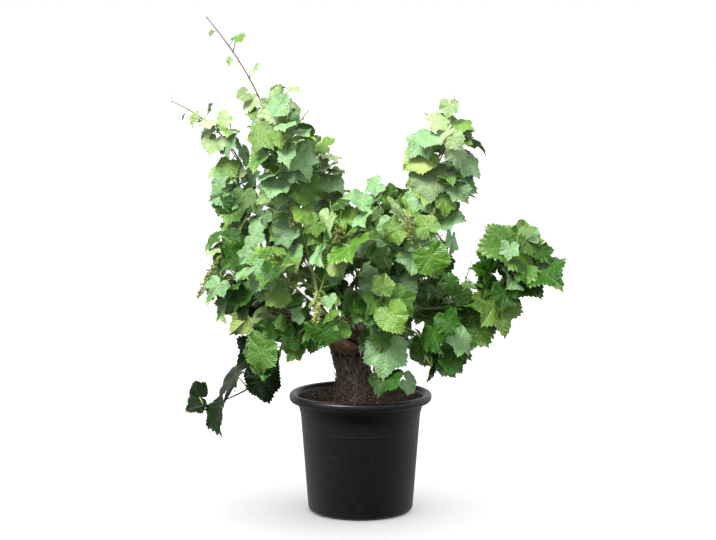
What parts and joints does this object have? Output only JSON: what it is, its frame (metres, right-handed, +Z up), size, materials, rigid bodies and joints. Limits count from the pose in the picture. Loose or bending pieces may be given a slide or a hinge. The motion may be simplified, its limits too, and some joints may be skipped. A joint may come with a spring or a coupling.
{
  "type": "potted grapevine",
  "caption": "Low bush-trained grapevine with a gnarled trunk, arching leafy shoots and young flower clusters, growing in a round black nursery pot with a rolled rim.",
  "frame": {"origin": "centre of the pot's flat underside, on the pot's axis", "axes": "+Z up, -Y the vine's front, +X its right-hand side seen from the front"},
  "size_m": [1.1055, 0.7586, 1.3841],
  "materials": {
    "pot_plastic": "satin moulded",
    "soil": "rough, crumbly",
    "bark": "fissured bark",
    "arm_bark": "flaking bark",
    "foliage": "leaf, matt"
  },
  "bodies": {
    "root": {"pot": "pot_plastic", "soil": "soil", "trunk": "bark", "arm_left": "arm_bark", "arm_right": "arm_bark", "arm_front": "arm_bark", "arm_back": "arm_bark", "arm_middle": "arm_bark", "foliage_tall_left": "foliage", "foliage_far_left": "foliage", "foliage_side_left": "foliage", "foliage_low_left": "foliage", "foliage_low_back_left": "foliage", "foliage_inner_left": "foliage", "foliage_front_middle": "foliage", "foliage_low_front": "foliage", "foliage_middle_left": "foliage", "foliage_front_hanging": "foliage", "foliage_front_screen": "foliage", "foliage_middle_low": "foliage", "foliage_upper_middle": "foliage", "foliage_crown_middle": "foliage", "foliage_tall_right": "foliage", "foliage_far_right": "foliage", "foliage_inner_right": "foliage", "foliage_low_right": "foliage", "foliage_low_middle": "foliage", "foliage_right_back": "foliage", "foliage_back_left_tall": "foliage", "foliage_back_left": "foliage", "foliage_back_right": "foliage", "foliage_low_back": "foliage"}
  },
  "joints": []
}
